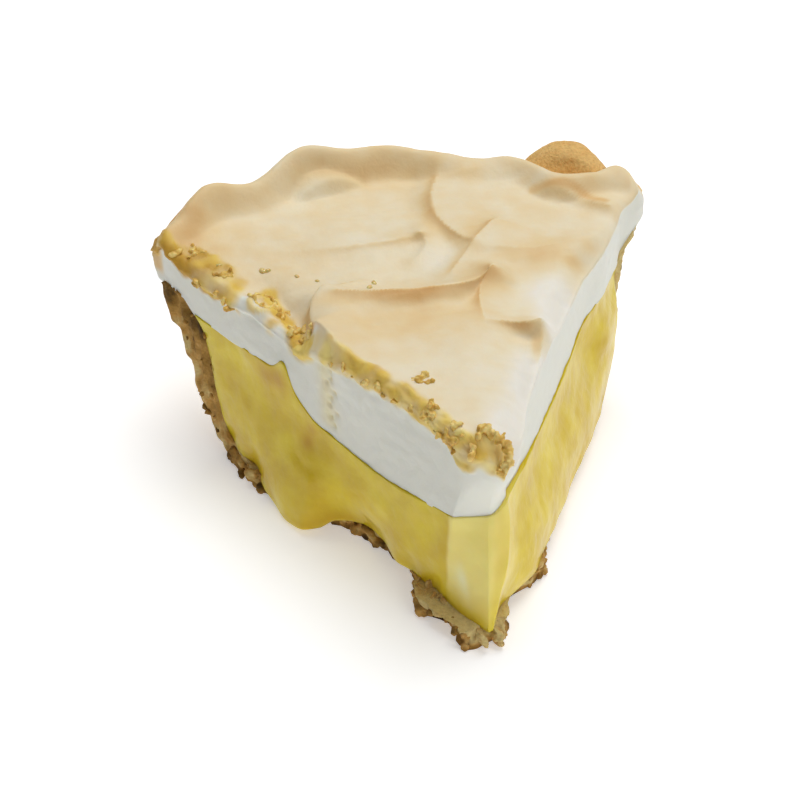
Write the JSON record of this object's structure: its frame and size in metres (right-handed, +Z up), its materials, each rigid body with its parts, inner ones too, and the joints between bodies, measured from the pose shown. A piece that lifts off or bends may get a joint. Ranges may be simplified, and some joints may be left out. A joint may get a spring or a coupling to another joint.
{
  "type": "lemon meringue pie slice",
  "caption": "Wedge cut from a round pie: pastry base and wall with a crimped rim, a thick lemon layer, and a folded, browned meringue top. It rests flat on its crust.",
  "frame": {"origin": "on the table, under the middle of the slice's bounding box", "axes": "+Z up; -Y towards the tip of the slice, +Y towards its crimped rim; +X to the right seen from the tip"},
  "size_m": [0.1232, 0.1252, 0.0596],
  "materials": {
    "baked_pastry": "matt, crumbly, browned",
    "lemon_gel": "moist and glossy, slightly clear",
    "toasted_meringue": "soft satin, browned on top and white at the cuts"
  },
  "bodies": {
    "root": {"crust": "baked_pastry", "lemon_filling": "lemon_gel", "meringue": "toasted_meringue"}
  },
  "joints": []
}
